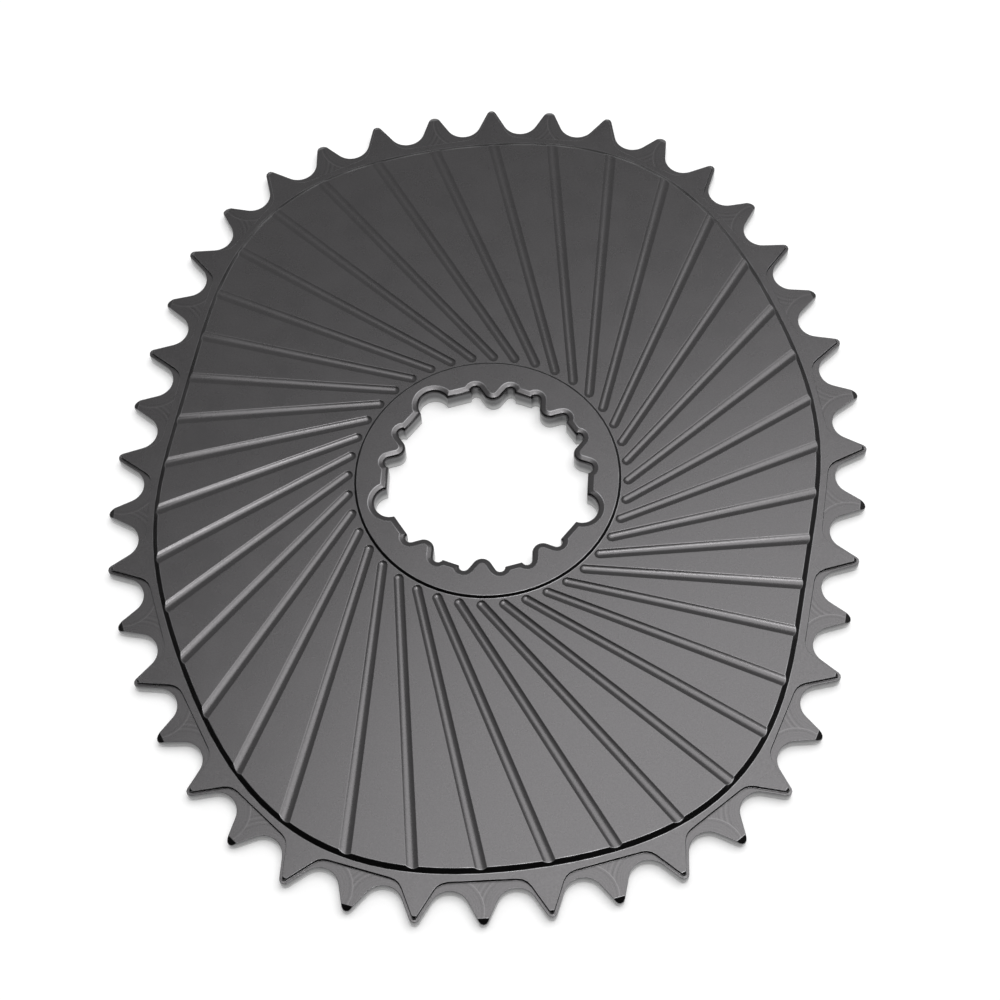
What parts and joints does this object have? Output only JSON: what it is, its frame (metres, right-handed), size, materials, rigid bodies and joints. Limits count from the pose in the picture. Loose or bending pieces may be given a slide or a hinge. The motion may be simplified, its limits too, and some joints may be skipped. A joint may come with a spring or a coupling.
{
  "type": "bicycle chainring",
  "caption": "Flat oval bicycle chainring with alternating narrow and wide teeth, a swirl-grooved web and a splined direct-mount bore, machined from one plate.",
  "frame": {"origin": "bore axis, on the back face that the chainring lies on", "axes": "+Z along the bore axis, out of the grooved front face; +Y along the oval's long axis"},
  "size_m": [0.1548, 0.187, 0.0047],
  "materials": {
    "anodised_aluminium": "black satin anodising over machined faces"
  },
  "bodies": {
    "root": {"chainring": "anodised_aluminium"}
  },
  "joints": []
}
